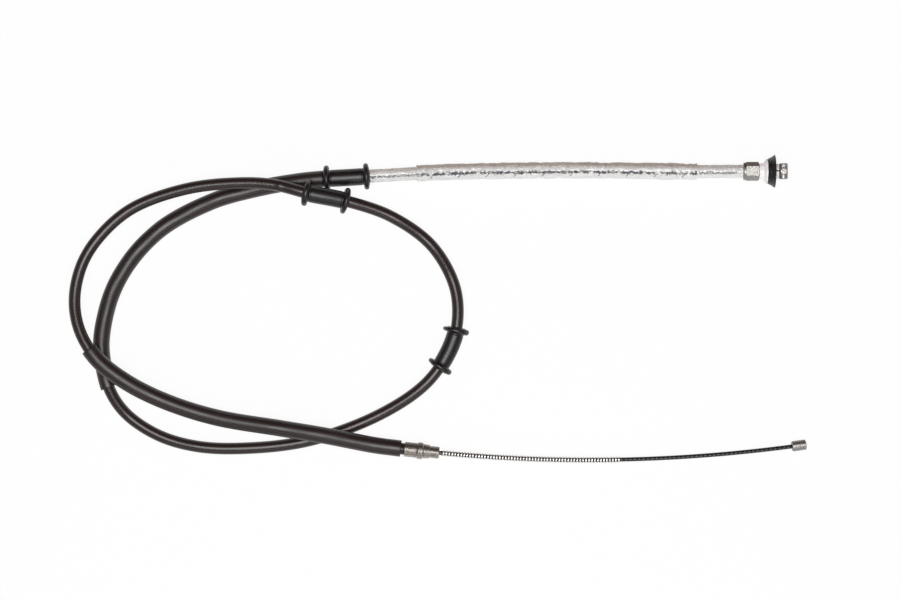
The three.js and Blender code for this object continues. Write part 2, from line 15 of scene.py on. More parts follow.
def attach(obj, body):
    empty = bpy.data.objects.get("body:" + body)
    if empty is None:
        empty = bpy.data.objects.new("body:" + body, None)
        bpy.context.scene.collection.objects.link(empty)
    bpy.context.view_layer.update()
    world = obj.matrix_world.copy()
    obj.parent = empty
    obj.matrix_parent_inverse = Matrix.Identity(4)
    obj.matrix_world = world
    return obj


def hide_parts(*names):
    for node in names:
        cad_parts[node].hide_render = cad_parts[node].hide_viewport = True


bl_info = {
    "name": "Parking brake cable",
    "version": (1, 0, 0),
    "blender": (4, 5, 0),
    "location": "3D View > Sidebar > Cable",
    "description": "Makes the pieces of a parking brake cable and the stage that it lies on",
    "category": "Object",
}

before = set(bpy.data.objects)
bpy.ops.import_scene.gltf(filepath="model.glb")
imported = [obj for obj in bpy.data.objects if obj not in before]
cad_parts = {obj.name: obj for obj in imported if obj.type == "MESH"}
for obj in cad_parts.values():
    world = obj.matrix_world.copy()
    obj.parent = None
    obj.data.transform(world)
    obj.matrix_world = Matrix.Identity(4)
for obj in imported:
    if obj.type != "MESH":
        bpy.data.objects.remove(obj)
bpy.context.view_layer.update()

# The casing's line, point by point, between its two straight ends.
ROUTE = [
    (-0.0781, -0.08525, 0.0148), (-0.1071, -0.08055, 0.0132), (-0.1511, -0.07335, 0.0109),
    (-0.1861, -0.06205, 0.0126), (-0.2121, -0.04855, 0.0159), (-0.2311, -0.03305, 0.0176),
    (-0.2425, -0.01405, 0.0168), (-0.2461, 0.00645, 0.0151), (-0.2416, 0.02945, 0.0136),
    (-0.2301, 0.04845, 0.0127), (-0.2081, 0.06775, 0.0125), (-0.1711, 0.08115, 0.0140),
    (-0.1341, 0.08505, 0.0163), (-0.1106, 0.08365, 0.0182), (-0.0878, 0.07785, 0.0204),
    (-0.0621, 0.07275, 0.0164), (-0.0321, 0.06245, 0.0108), (-0.0051, 0.04295, 0.0079),
    (0.0104, 0.01545, 0.0079), (0.0122, -0.00955, 0.0093), (0.0064, -0.02855, 0.0094),
    (-0.0091, -0.05055, 0.0086), (-0.0411, -0.07205, 0.0050), (-0.0891, -0.08955, 0.0041),
    (-0.1351, -0.09475, 0.0041), (-0.1661, -0.09315, 0.0041), (-0.1911, -0.08575, 0.0041),
    (-0.2121, -0.07185, 0.0046), (-0.2228, -0.05705, 0.0056), (-0.2279, -0.03955, 0.0058),
    (-0.2291, -0.01755, 0.0058), (-0.2186, 0.01895, 0.0058), (-0.1926, 0.05145, 0.0058),
    (-0.1541, 0.07315, 0.0058), (-0.1151, 0.08345, 0.0068), (-0.0881, 0.08745, 0.0089),
    (-0.0616, 0.08915, 0.0095), (-0.0311, 0.09105, 0.0080), (0.0039, 0.09295, 0.0060),
    (0.0889, 0.09425, 0.0060),
]

# The brake end lies on a wide arc whose plane slopes about Y. The lever end is straight and slopes up.
ARC_RADIUS = 1.057
ARC_CENTRE = (0.1029, 0.95465)
ARC_SLOPE = math.radians(1.4)
NOSE_FACE_X = -0.0001
EXPOSED_LENGTH = 0.2405
BRAKE_NIPPLE_LENGTH = 0.0096
BRAKE_NIPPLE_RADIUS = 0.0035
LEVER_FACE = (0.2162, 0.09325)
LEVER_SLOPE = math.radians(2.5)
SEAL_END = 0.0109
SEAL_FRONT_RADIUS = 0.0112
FERRULE_LENGTH = 0.0236
SLEEVE_GRIP = 0.0104
STRAIGHT_RUN = 0.031
CASING_STOP = -0.0011
ROPE_SEAT_DEPTH = 0.0075

# Places along the casing, counted from its brake end.
BRAKE_TUBE = (0.0129, 0.2389)
GROMMET_LENGTH = 0.031
GROMMET_MIDDLES = {"brake_side_grommet": 0.486, "loop_grommet": 0.642, "shield_side_grommet": 1.166}
MIDDLE_TUBE = (0.912, 1.1502)
FOIL_START = 1.1818
# The foil stops this far before the casing's lever end, and the shield this far before the foil's end.
FOIL_STOP = 0.0094
SHIELD_STOP = 0.031
SHIELD_LENGTH = 0.19
# A small bump on the sheath's top: its place along the casing, its height and its reach.
KNOB_PLACE, KNOB_HEIGHT, KNOB_REACH = 0.454, 0.0004, 0.0014

# Radii and walls of the casing's layers and of what is wrapped round them.
SHEATH_WALL = 0.00085
WINDING_RADIUS, WINDING_WALL = 0.003, 0.00075
LINER_RADIUS, LINER_WALL = 0.0021, 0.00045
FOIL_RADIUS, FOIL_BORE = 0.0044, 0.00415
SHIELD_RADIUS, SHIELD_BORE = 0.0055, 0.0047
# The shield's radius where a lap starts, before its creases, and the most that it has on the lower side.
LAP_RADIUS, LOWER_RADIUS = 0.00545, 0.0056
# The shield's strip: from one lap to the next, and the step that a lap makes.
LAP_PITCH, LAP_STEP = 0.019, 0.0003
# The shield's swell near its end: its place from the shield's start, its height and its reach.
SWELL_PLACE, SWELL_HEIGHT, SWELL_REACH = 0.167, 0.0003, 0.009
# Creases: their height and their size along the surface.
FOIL_CREASES = (0.00016, 0.0035)
SHIELD_FOLDS = (0.00028, 0.0042)
SHIELD_WRINKLES = (0.0001, 0.0015)
# The thread ends lie on the shield at the first radius and are as thick as the second says.
HOOK_RADIUS, THREAD_RADIUS = 0.00582, 0.00017
# How far the edges of the sheath and the tubes are rounded.
SHEATH_EDGE, TUBE_EDGE = 0.0002, 0.0003

# The guard coil's flat strip: its start and end, counted from the ferrule's nose, and its section.
COIL_START, COIL_END = 0.00135, 0.1236
STRIP_WIDTH, STRIP_THICKNESS = 0.00105, 0.00045
COIL_CLEARANCE = 0.00025

# How much of the brake rope the casing hides at rest, and how near either end rope comes to the hidden rope.
ROPE_HIDDEN = 0.006
HIDDEN_ROPE_GAP = 0.0003
# Places at the lever end, counted from the ferrule's front face.
LEVER_ROPE_END = 0.0182
LEVER_NIPPLE_MIDDLE = 0.01675


class CableSizes(bpy.types.PropertyGroup):
    """The sizes that a maker would change."""

    rope_radius: FloatProperty(
        name="Rope radius", description="Coated steel rope", default=0.0014, unit="LENGTH")
    sheath_radius: FloatProperty(
        name="Sheath radius", description="Outside of the casing", default=0.004, unit="LENGTH")
    tube_radius: FloatProperty(
        name="Tube radius", description="Outside of the protective tubes", default=0.0056, unit="LENGTH")
    wall: FloatProperty(
        name="Tube wall", description="Wall of the protective tubes", default=0.0012, unit="LENGTH")
    coil_pitch: FloatProperty(
        name="Coil pitch", description="From one turn of the guard coil to the next", default=0.00202,
        unit="LENGTH")
    winding_pitch: FloatProperty(
        name="Winding pitch", description="Wire of the casing, as it shows through the sheath",
        default=0.0009, unit="LENGTH")
    turned_sides: IntProperty(
        name="Turned sides", description="Faces round a turned piece", default=72, min=12)


def hex_colour(name, description, default):
    return FloatVectorProperty(
        name=name, description=description, subtype="COLOR", size=3, min=0, max=1, default=linear(default))


def linear(hexadecimal):
    """The linear colour of an sRGB hex value."""
    parts = [int(hexadecimal[i:i + 2], 16) / 255 for i in (1, 3, 5)]
    return tuple(c / 12.92 if c <= 0.04045 else ((c + 0.055) / 1.055) ** 2.4 for c in parts)


class CableColours(bpy.types.PropertyGroup):
    """The colours that a maker would change."""

    sheath: hex_colour("Sheath", "Black-brown extruded plastic", "#271b1a")
    tube: hex_colour("Tube", "Black-brown glossy plastic", "#251919")
    rubber: hex_colour("Rubber", "Black moulded rubber", "#141010")
    foil: hex_colour("Foil", "Bare aluminium foil", "#faf8f7")
    ferrule: hex_colour("Ferrule", "Plated turned steel", "#c2bbb3")
    coil: hex_colour("Coil", "Bright spring steel", "#f0edea")
    casting: hex_colour("Casting", "Grey die-cast zinc", "#b8b4b0")
    crimp: hex_colour("Crimp", "Bright zinc plate", "#a8a5a2")
    bush: hex_colour("Bush", "White moulded plastic", "#f7f4f4")
    rope: hex_colour("Rope", "Black coat of the rope", "#0f0d0d")


# What a Math node does.
SINE, ABSOLUTE, ADD, SUBTRACT, MULTIPLY, DIVIDE, MAXIMUM = (
    {"operation": name} for name in ("SINE", "ABSOLUTE", "ADD", "SUBTRACT", "MULTIPLY", "DIVIDE", "MAXIMUM"))
# A Mix node of colours has its share in input 0, the colours in inputs 6 and 7, and the result in output 2.
OF_COLOURS = {"data_type": "RGBA"}


def add_node(tree, kind, settings=None, inputs=None):
    """Adds a node. An input is a value, a colour, an output, or a node, which stands for its first output."""
    made = tree.nodes.new(f"ShaderNode{kind}")
    for name, value in (settings or {}).items():
        setattr(made, name, value)
    for key, value in (inputs or {}).items():
        socket = made.inputs[key]
        source = value.outputs[0] if isinstance(value, bpy.types.Node) else value
        if isinstance(source, bpy.types.NodeSocket):
            tree.links.new(source, socket)
        else:
            socket.default_value = (*value, 1) if socket.type == "RGBA" else value
    return made


def new_material(name):
    """A material and its empty node tree."""
    material = bpy.data.materials.new(name)
    material.use_nodes = True
    material.node_tree.nodes.clear()
    return material, material.node_tree


def shade(tree, relief, depth, inputs):
    """Ends a material's tree with its shader. The relief is drawn as deep as the given metres."""
    bump = add_node(tree, "Bump", inputs={"Height": relief, "Distance": depth})
    shader = add_node(tree, "BsdfPrincipled", inputs={**inputs, "Normal": bump})
    add_node(tree, "OutputMaterial", inputs={"Surface": shader})


def speckle(tree, size, detail=3.0):
    """Soft noise whose spots are about the given size in metres. It lies still on the piece."""
    place = add_node(tree, "TexCoord").outputs["Object"]
    return add_node(tree, "TexNoise", inputs={"Vector": place, "Scale": 1 / size, "Detail": detail})


def unrolled(tree):
    """Distance along the piece and distance round it, in metres, from its UV map."""
    split = add_node(tree, "SeparateXYZ", inputs={0: add_node(tree, "UVMap", {"uv_map": "unrolled"})})
    return split.outputs["X"], split.outputs["Y"]


def rings(tree, spacing):
    """Even rings round the piece, one to each spacing in metres."""
    along, _ = unrolled(tree)
    phase = add_node(tree, "Math", MULTIPLY, {0: along, 1: 2 * math.pi / spacing})
    return add_node(tree, "Math", SINE, {0: phase})


def drawn_lines(tree, along, around, detail):
    """Faint lines along the piece. The two counts are their changes in a metre along it and round it."""
    surface = add_node(tree, "UVMap", {"uv_map": "unrolled"})
    place = add_node(tree, "Mapping", inputs={0: surface, "Scale": (along, around, 1)})
    return add_node(tree, "TexNoise", inputs={"Vector": place, "Scale": 1, "Detail": detail})


def colours():
    return bpy.context.scene.cable_colours


def sizes():
    return bpy.context.scene.cable_sizes


def extruded_pvc():
    """PVC, extruded over the wound wire, which shows through in places as fine ribs with a dotted gloss."""
    material, tree = new_material("extruded_pvc")
    along, _ = unrolled(tree)
    patches = add_node(
        tree, "MapRange", inputs={"Value": speckle(tree, 0.045, 1.0), "From Min": 0.54, "From Max": 0.64})
    bare_end = add_node(tree, "MapRange", inputs={
        "Value": along, "From Min": BRAKE_TUBE[0], "From Max": BRAKE_TUBE[0] - 0.001})
    bare = add_node(tree, "Math", MAXIMUM, {0: patches, 1: bare_end})
    ribs = add_node(tree, "Math", MULTIPLY, {0: rings(tree, sizes().winding_pitch), 1: bare})
    grain = add_node(tree, "Math", MULTIPLY, {0: speckle(tree, 0.0006), 1: 0.08})
    relief = add_node(tree, "Math", ADD, {0: ribs, 1: grain})
    shade(tree, relief, 0.00005, {"Base Color": colours().sheath, "Roughness": 0.3, "IOR": 1.53})
    return material


def extruded_polyamide():
    """Polyamide tube, extruded. Its gloss is broken by faint lines along it."""
    material, tree = new_material("extruded_polyamide")
    gloss = add_node(tree, "MapRange", inputs={
        "Value": speckle(tree, 0.02), "From Min": 0.3, "From Max": 0.7, "To Min": 0.32, "To Max": 0.46})
    shade(tree, drawn_lines(tree, 15, 900, 2), 0.00003, {
        "Base Color": colours().tube, "Roughness": gloss, "IOR": 1.53})
    return material


def moulded_rubber():
    """EPDM, moulded. A fine tooled grain keeps its gloss broad and soft."""
    material, tree = new_material("moulded_rubber")
    shade(tree, speckle(tree, 0.0007, 4.0), 0.00008, {
        "Base Color": colours().rubber, "Roughness": 0.36, "IOR": 1.52})
    return material


def moulded_acetal():
    """Acetal, moulded. It's white, with a soft satin gloss."""
    material, tree = new_material("moulded_acetal")
    shade(tree, speckle(tree, 0.0012), 0.00003, {"Base Color": colours().bush, "Roughness": 0.4, "IOR": 1.48})
    return material


def shade_metal(tree, relief, depth, colour, roughness, dark_share, far_side_shade=0.0):
    """Ends a bare metal's tree. Its tone and gloss vary in small spots, which are darker by the dark share.

    Its last argument says how strongly its +Y side is painted darker and browner, as painted shade.
    """
    spots = add_node(
        tree, "MapRange", inputs={"Value": speckle(tree, 0.0009, 4.0), "From Min": 0.35, "From Max": 0.65})
    dark = [c * (1 - dark_share) for c in colour]
    facing = add_node(tree, "SeparateXYZ", inputs={0: add_node(tree, "TexCoord").outputs["Normal"]})
    far_side = add_node(
        tree, "MapRange", inputs={"Value": facing.outputs["Y"], "From Min": 0.3, "From Max": 0.6})
    # Painted shade: faces turned towards +Y are mixed towards a dark brown, by their facing alone.
    painted_shade = add_node(tree, "Math", MULTIPLY, {0: far_side, 1: far_side_shade})
    spotted = add_node(tree, "Mix", OF_COLOURS, {0: spots, 6: dark, 7: colour}).outputs[2]
    # The dark brown of the painted shade on the +Y side.
    shaded_colour = add_node(tree, "Mix", OF_COLOURS, {0: painted_shade, 6: spotted, 7: linear("#574840")}).outputs[2]
    gloss = add_node(
        tree, "MapRange", inputs={"Value": spots, "To Min": roughness + 0.12, "To Max": roughness - 0.05})
    shade(tree, relief, depth, {"Base Color": shaded_colour, "Roughness": gloss, "Metallic": 1.0})


def turned_steel():
    """Steel, turned and zinc plated. Tool marks run round it, drawn 0.7 mm apart so that they show."""
    material, tree = new_material("turned_steel")
    marks = add_node(tree, "Math", ADD, {0: rings(tree, 0.0007), 1: speckle(tree, 0.0008, 4.0)})
    shade_metal(tree, marks, 0.00005, colours().ferrule, 0.34, 0.5, 0.55)
    return material


def spring_steel():
    """Flat spring wire, rolled bright. Each turn shines on its crown."""
    material, tree = new_material("spring_steel")
    shade_metal(tree, speckle(tree, 0.0015), 0.00003, colours().coil, 0.36, 0.15)
    return material


def diecast_zinc():
    """Zinc alloy, die-cast. It's dull grey and slightly pitted."""
    material, tree = new_material("diecast_zinc")
    shade_metal(tree, speckle(tree, 0.0006, 5.0), 0.00012, colours().casting, 0.4, 0.4, 0.5)
    return material


def plated_steel():
    """Steel, zinc plated and crimped. Its flats are smooth, with faint marks of the jaws along them."""
    material, tree = new_material("plated_steel")
    shade_metal(tree, drawn_lines(tree, 150, 2500, 3), 0.00006, colours().crimp, 0.42, 0.25, 0.95)
    return material


def wound_wire():
    """Flat steel wire, close-wound. It's hidden in the sheath."""
    material, tree = new_material("wound_wire")
    shade_metal(tree, rings(tree, sizes().winding_pitch), 0.0001, colours().coil, 0.4, 0.2)
    return material


def painted_shade_side(tree, angle):
    """Where the foil's +Y side is painted brown as painted shade, from a little below its middle height to a
    little before the top.
    """
    above = add_node(tree, "MapRange", inputs={
        "Value": angle, "From Min": math.radians(74), "From Max": math.radians(46)})
    below = add_node(tree, "MapRange", inputs={
        "Value": angle, "From Min": math.radians(330), "From Max": math.radians(345)})
    return add_node(tree, "Math", MAXIMUM, {0: above, 1: below})


def painted_shade_line(tree, angle):
    """A broken line of painted shade along the foil, a little to the -Y side of its top."""
    away = add_node(tree, "Math", ABSOLUTE, {
        0: add_node(tree, "Math", SUBTRACT, {0: angle, 1: math.radians(103)})})
    near = add_node(tree, "MapRange", inputs={
        "Value": away, "From Min": math.radians(13), "From Max": math.radians(5)})
    broken = add_node(
        tree, "MapRange", inputs={"Value": speckle(tree, 0.003), "From Min": 0.32, "From Max": 0.48})
    return add_node(tree, "Math", MULTIPLY, {0: near, 1: broken})


def aluminium_foil(name, radius, brown_shade, shade_line):
    """Aluminised cloth, wrapped by hand. It's bright, half matt and creased all over.

    Its +Y side is painted brown, as painted shade, and a broken dark line of painted shade runs along the
    top. The last two arguments are how strong the brown and the line are, from 0 to 1.
    """
    material, tree = new_material(name)
    _, around = unrolled(tree)
    even = add_node(tree, "Math", DIVIDE, {0: around, 1: radius})
    wander = add_node(tree, "Math", SUBTRACT, {0: speckle(tree, 0.0012, 4.0), 1: 0.5})
    ragged = add_node(tree, "Math", MULTIPLY, {0: wander, 1: 0.9})
    angle = add_node(tree, "Math", ADD, {0: even, 1: ragged})
    # Painted shade: the +Y side of the foil is painted brown.
    painted_shade = add_node(tree, "Math", MULTIPLY, {0: painted_shade_side(tree, angle), 1: brown_shade})
    # Painted shade: a broken dark line along the top of the foil.
    line = add_node(tree, "Math", MULTIPLY, {0: painted_shade_line(tree, angle), 1: shade_line})
    weave = add_node(
        tree, "MapRange", inputs={"Value": speckle(tree, 0.0005, 2.0), "From Min": 0.3, "From Max": 0.7})
    # The browns of the painted shade, with a faint weave in them.
    threads = {0: weave, 6: linear("#96806f"), 7: linear("#d6c6bb")}
    brown = add_node(tree, "Mix", OF_COLOURS, threads).outputs[2]
    shaded_colour = add_node(tree, "Mix", OF_COLOURS, {0: painted_shade, 6: colours().foil, 7: brown}).outputs[2]
    # The dark grey of the painted shade line.
    lined = add_node(tree, "Mix", OF_COLOURS, {0: line, 6: shaded_colour, 7: linear("#3a4046")}).outputs[2]
    creases = add_node(
        tree, "TexVoronoi", {"feature": "DISTANCE_TO_EDGE"},
        {"Vector": add_node(tree, "TexCoord").outputs["Object"], "Scale": 1 / 0.0016})
    folds = add_node(tree, "MapRange", inputs={"Value": creases, "From Max": 0.12})
    relief = add_node(tree, "Math", ADD, {0: folds, 1: speckle(tree, 0.0012, 5.0)})
    shade(tree, relief, 0.00025, {"Base Color": lined, "Roughness": 0.42, "Metallic": 0.3})
    return material


def coated_rope():
    """Steel rope in a thin black nylon coat. Its six strands show as a slow twist under the gloss."""
    material, tree = new_material("coated_rope")
    along, around = unrolled(tree)
    strands, lay = 6, 0.018
    forward = add_node(tree, "Math", MULTIPLY, {0: along, 1: 2 * math.pi * strands / lay})
    sideways = add_node(tree, "Math", MULTIPLY, {0: around, 1: strands / sizes().rope_radius})
    twist = add_node(tree, "Math", SINE, {0: add_node(tree, "Math", ADD, {0: forward, 1: sideways})})
    shade(tree, twist, 0.00005, {"Base Color": colours().rope, "Roughness": 0.28, "IOR": 1.53})
    return material


def slick_liner():
    """Polyethylene liner, extruded. It's milky and waxy, and hidden in the winding."""
    material, tree = new_material("slick_liner")
    shade(tree, speckle(tree, 0.002), 0.00002, {
        "Base Color": linear("#e6e4dc"), "Roughness": 0.45, "IOR": 1.5})
    return material


def sewing_thread():
    """Dark polyester thread, spun. It's matt."""
    material, tree = new_material("sewing_thread")
    shade(tree, speckle(tree, 0.0003), 0.00005, {
        "Base Color": linear("#2b2c31"), "Roughness": 0.8, "IOR": 1.5})
    return material


def placed(tangent, side, up, point):
    """A frame: X along the cable, Y to its left, Z up, standing at a point."""
    made = Matrix.Identity(4)
    for column, vector in enumerate((tangent, side, up, point)):
        for row in range(3):
            made[row][column] = vector[row]
    return made


class Line:
    """A smooth line through points, measured along its length. Its frames stay upright."""

    def __init__(self, points, steps=24):
        points = [Vector(p) for p in points]
        ends = [2 * points[0] - points[1], *points, 2 * points[-1] - points[-2]]
        self.spans = [self.span(ends[i:i + 4]) for i in range(len(points) - 1)]
        self.places = [i / steps for i in range(len(self.spans) * steps + 1)]
        dots = [self.point(t) for t in self.places]
        self.distances = np.concatenate([[0], np.cumsum([(b - a).length for a, b in zip(dots, dots[1:])])])
        self.length = float(self.distances[-1])

    @staticmethod
    def span(four):
        """A centripetal Catmull-Rom span, as the coefficients of its cubic."""
        a, b, c, d = four
        first, middle, last = [max((q - p).length ** 0.5, 1e-6) for p, q in ((a, b), (b, c), (c, d))]
        start = ((b - a) / first - (c - a) / (first + middle) + (c - b) / middle) * middle
        end = ((c - b) / middle - (d - b) / (middle + last) + (d - c) / last) * middle
        return b, start, 3 * (c - b) - 2 * start - end, 2 * (b - c) + start + end

    def at(self, place):
        index = min(int(place), len(self.spans) - 1)
        return self.spans[index], place - index

    def point(self, place):
        (a, b, c, d), t = self.at(place)
        return a + b * t + c * t * t + d * t ** 3

    def frame(self, distance):
        place = float(np.interp(distance, self.distances, self.places))
        (_, b, c, d), t = self.at(place)
        tangent = (b + 2 * c * t + 3 * d * t * t).normalized()
        side = Vector((0, 0, 1)).cross(tangent).normalized()
        return placed(tangent, side, tangent.cross(side), self.point(place))


nose_angle = math.asin((NOSE_FACE_X - ARC_CENTRE[0]) / ARC_RADIUS)
nipple_middle = EXPOSED_LENGTH + BRAKE_NIPPLE_LENGTH / 2
nipple_rest = (
    BRAKE_NIPPLE_RADIUS * math.cos(ARC_SLOPE) + BRAKE_NIPPLE_LENGTH / 2 * math.sin(ARC_SLOPE))
nipple_angle = nose_angle + nipple_middle / ARC_RADIUS
brake_end = Matrix.Translation(
    (*ARC_CENTRE, nipple_rest + ARC_RADIUS * math.sin(nipple_angle) * math.sin(ARC_SLOPE))
) @ Matrix.Rotation(ARC_SLOPE, 4, "Y")
lever_end = Matrix.Translation(
    (*LEVER_FACE, SEAL_FRONT_RADIUS * math.cos(LEVER_SLOPE) - SEAL_END * math.sin(LEVER_SLOPE))
) @ Matrix.Rotation(-LEVER_SLOPE, 4, "Y")


def arc_frame(distance):
    """A frame on the brake end's arc. Distances grow from the ferrule's nose face towards the nipple."""
    angle = nose_angle + distance / ARC_RADIUS
    return brake_end @ placed(
        (math.cos(angle), math.sin(angle), 0), (-math.sin(angle), math.cos(angle), 0), (0, 0, 1),
        (ARC_RADIUS * math.sin(angle), -ARC_RADIUS * math.cos(angle), 0))


def straight(place):
    """Frames along the X axis of a place."""
    return lambda distance: place @ Matrix.Translation((distance, 0, 0))


def lever_frame(distance):
    return lever_end @ Matrix.Translation((distance, 0, 0))


casing_start = SLEEVE_GRIP - FERRULE_LENGTH
casing = Line([
    *(arc_frame(casing_start - part * STRAIGHT_RUN).translation for part in (0, 0.5, 1)),
    *ROUTE,
    *(lever_frame(CASING_STOP - part * STRAIGHT_RUN).translation for part in (1.5, 0.75, 0)),
])
foil_end = casing.length - FOIL_STOP
shield_end = foil_end - SHIELD_STOP
shield_start = shield_end - SHIELD_LENGTH
brake_rope_span = (casing_start - ROPE_HIDDEN, EXPOSED_LENGTH + ROPE_SEAT_DEPTH)


def steps_between(start, end, step, edge=0.0):
    """Distances from start to end, with a few close ones near both ends where an edge is rounded."""
    count = max(1, round((end - start) / step))
    inner = [start + (end - start) * i / count for i in range(count + 1)]
    near = [edge * share for share in (0, 0.1, 0.35, 1)] if edge else [0]
    kept = [d for d in inner if start + near[-1] + step / 4 < d < end - near[-1] - step / 4]
    return [start + n for n in near] + kept + [end - n for n in reversed(near)]


def rounded_end(distance, start, end, edge):
    """How far a wall draws in near its ends, so that its edge is rounded."""
    near = min(distance - start, end - distance) / edge if edge else 1
    return edge * (1 - math.sqrt(max(0.0, 1 - (1 - min(near, 1)) ** 2)))


def mesh_object(name, rows, hollow, material, uv_rows):
    """A piece from rings of points. On a hollow piece the last ring joins the first one.

    Each ring's UV row holds its distance along the piece and the width of one of its faces.
    """
    sides = len(rows[0])
    points = [p for row in rows for p in row]
    faces, uvs = [], []
    for i in range(len(rows) if hollow else len(rows) - 1):
        j = (i + 1) % len(rows)
        for k in range(sides):
            m = (k + 1) % sides
            faces.append((i * sides + k, j * sides + k, j * sides + m, i * sides + m))
            (u, v), (s, t) = uv_rows[i], uv_rows[j]
            uvs += [(u, v * k), (s, t * k), (s, t * (k + 1)), (u, v * (k + 1))]
    if not hollow:
        faces += [tuple(reversed(range(sides))), tuple((len(rows) - 1) * sides + k for k in range(sides))]
        uvs += [(0, 0)] * (2 * sides)
    mesh = bpy.data.meshes.new(name)
    mesh.from_pydata([tuple(p) for p in points], [], [tuple(reversed(f)) for f in faces])
    flipped = []
    at = 0
    for face in faces:
        flipped += reversed(uvs[at:at + len(face)])
        at += len(face)
    layer = mesh.uv_layers.new(name="unrolled")
    layer.data.foreach_set("uv", [x for pair in flipped for x in pair])
    mesh.shade_smooth()
    mesh.set_sharp_from_angle(angle=math.radians(38))
    if material:
        mesh.materials.append(material)
    made = bpy.data.objects.new(name, mesh)
    bpy.context.scene.collection.objects.link(made)
    return made


def sleeve(name, frame_at, stops, outer, inner, sides, material):
    """A tube along a line. Its radii, outer and inner, are functions of distance and angle.

    Without an inner radius it's a solid rod.
    """
    turn = 2 * math.pi / sides

    def ring(distance, radius):
        here = frame_at(distance)
        angles = [turn * k for k in range(sides)]
        return [here @ (Vector((0, math.cos(a), math.sin(a))) * radius(distance, a)) for a in angles]

    face_width = turn * outer((stops[0] + stops[-1]) / 2, 0)
    rows = [ring(d, outer) for d in stops]
    uv_rows = [(d, face_width) for d in stops]
    if inner is not None:
        rows += [ring(d, inner) for d in reversed(stops)]
        uv_rows += reversed(uv_rows)
    return mesh_object(name, rows, inner is not None, material, uv_rows)


def plain_sleeve(name, frame_at, span, radius, wall, sides, step, material, edge=0.0):
    start, end = span
    return sleeve(
        name, frame_at, steps_between(start, end, step, edge),
        lambda d, _: radius - rounded_end(d, start, end, edge),
        None if wall is None else (lambda d, _: radius - wall + rounded_end(d, start, end, edge)),
        sides, material)


def filleted(profile, size, steps=3):
    """The same closed outline with its corners rounded. Points on the axis stay sharp."""
    made = []
    count = len(profile)
    for i, corner in enumerate(profile):
        here, before, after = (Vector(profile[j % count]) for j in (i, i - 1, i + 1))
        to_before, to_after = before - here, after - here
        cosine = to_before.normalized().dot(to_after.normalized())
        if here.y < 1e-9 or cosine < -0.985:
            made.append(tuple(corner))
            continue
        reach = min(size, 0.42 * to_before.length, 0.42 * to_after.length)
        start, end = here + to_before.normalized() * reach, here + to_after.normalized() * reach
        for step in range(steps + 1):
            t = step / steps
            made.append(tuple((1 - t) ** 2 * start + 2 * t * (1 - t) * here + t * t * end))
    return made


def turned(name, profile, frame_at, material, fillet):
    """A turned piece. Its profile holds distances along the axis with radii: outside first, then the bore."""
    outline = filleted(profile, fillet)
    sides = sizes().turned_sides
    turn = 2 * math.pi / sides
    rows = []
    for x, r in outline:
        here = frame_at(x)
        rows.append([
            here @ Vector((0, r * math.cos(turn * k), r * math.sin(turn * k))) for k in range(sides)])
    made = mesh_object(name, rows, True, material, [(x, turn * max(r, 0.001)) for x, r in outline])
    merge_axis(made)
    smooth = made.modifiers.new("even_shading", "WEIGHTED_NORMAL")
    smooth.keep_sharp = True
    return made


def merge_axis(made):
    """Joins the points that lie together on the axis, and drops the faces that this leaves empty."""
    work = bmesh.new()
    work.from_mesh(made.data)
    bmesh.ops.remove_doubles(work, verts=work.verts, dist=1e-7)
    bmesh.ops.dissolve_degenerate(work, edges=work.edges, dist=1e-7)
    work.to_mesh(made.data)
    work.free()


def finish_piece(made, body, nodes):
    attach(made, body)
    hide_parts(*nodes)


class CABLE_OT_stage(bpy.types.Operator):
    """Makes the floor, the lamps and the camera that looks straight down"""

    bl_idname = "cable.stage"
    bl_label = "Stage"

    def execute(self, context):
        make_camera(context.scene)
        make_floor()
        make_lamps(context.scene)
        context.scene.view_settings.view_transform = "Standard"
        return {"FINISHED"}


CAMERA_HEIGHT = 1.5
CAMERA_PLACE = (0.0073, 0.00615)
SEEN_WIDTH = 0.612
TABLE_DISTANCE = 1.496
FLOOR_WIDTH = 8.0


def make_camera(scene):
    data = bpy.data.cameras.new("camera")
    data.sensor_width = 36
    data.lens = data.sensor_width * TABLE_DISTANCE / SEEN_WIDTH
    data.clip_start = 0.05
    camera = bpy.data.objects.new("camera", data)
    camera.location = (*CAMERA_PLACE, CAMERA_HEIGHT)
    scene.collection.objects.link(camera)
    scene.camera = camera


def white_table():
    """A white table. The camera and glossy surfaces see it evenly white, but for the cable's faint shade."""
    material, tree = new_material("white_table")
    rays = add_node(tree, "LightPath").outputs
    mirrored = add_node(tree, "Math", MAXIMUM, {0: rays["Is Glossy Ray"], 1: rays["Is Transmission Ray"]})
    seen = add_node(tree, "Math", MAXIMUM, {0: rays["Is Camera Ray"], 1: mirrored})
    share = add_node(tree, "Math", MULTIPLY, {0: seen, 1: 0.92})
    lit = add_node(tree, "BsdfDiffuse", inputs={"Color": (0.95, 0.95, 0.95)})
    glow = add_node(tree, "Emission", inputs={"Color": (1, 1, 1), "Strength": 1.0})
    mix = add_node(tree, "MixShader", inputs={0: share, 1: lit, 2: glow})
    add_node(tree, "OutputMaterial", inputs={"Surface": mix})
    return material


def make_floor():
    mesh = bpy.data.meshes.new("floor")
    half = FLOOR_WIDTH / 2
    corners = [(-half, -half, 0), (half, -half, 0), (half, half, 0), (-half, half, 0)]
    mesh.from_pydata(corners, [], [(0, 1, 2, 3)])
    mesh.materials.append(white_table())
    floor = bpy.data.objects.new("floor", mesh)
    bpy.context.scene.collection.objects.link(floor)


def make_lamp(name, place, size, power, aim=(0, 0, 0)):
    data = bpy.data.lights.new(name, "AREA")
    data.shape = "RECTANGLE"
    data.size, data.size_y = size
    data.energy = power
    lamp = bpy.data.objects.new(name, data)
    lamp.location = place
    lamp.rotation_euler = (Vector(aim) - Vector(place)).to_track_quat("-Z", "Y").to_euler()
    lamp.visible_camera = False
    bpy.context.scene.collection.objects.link(lamp)


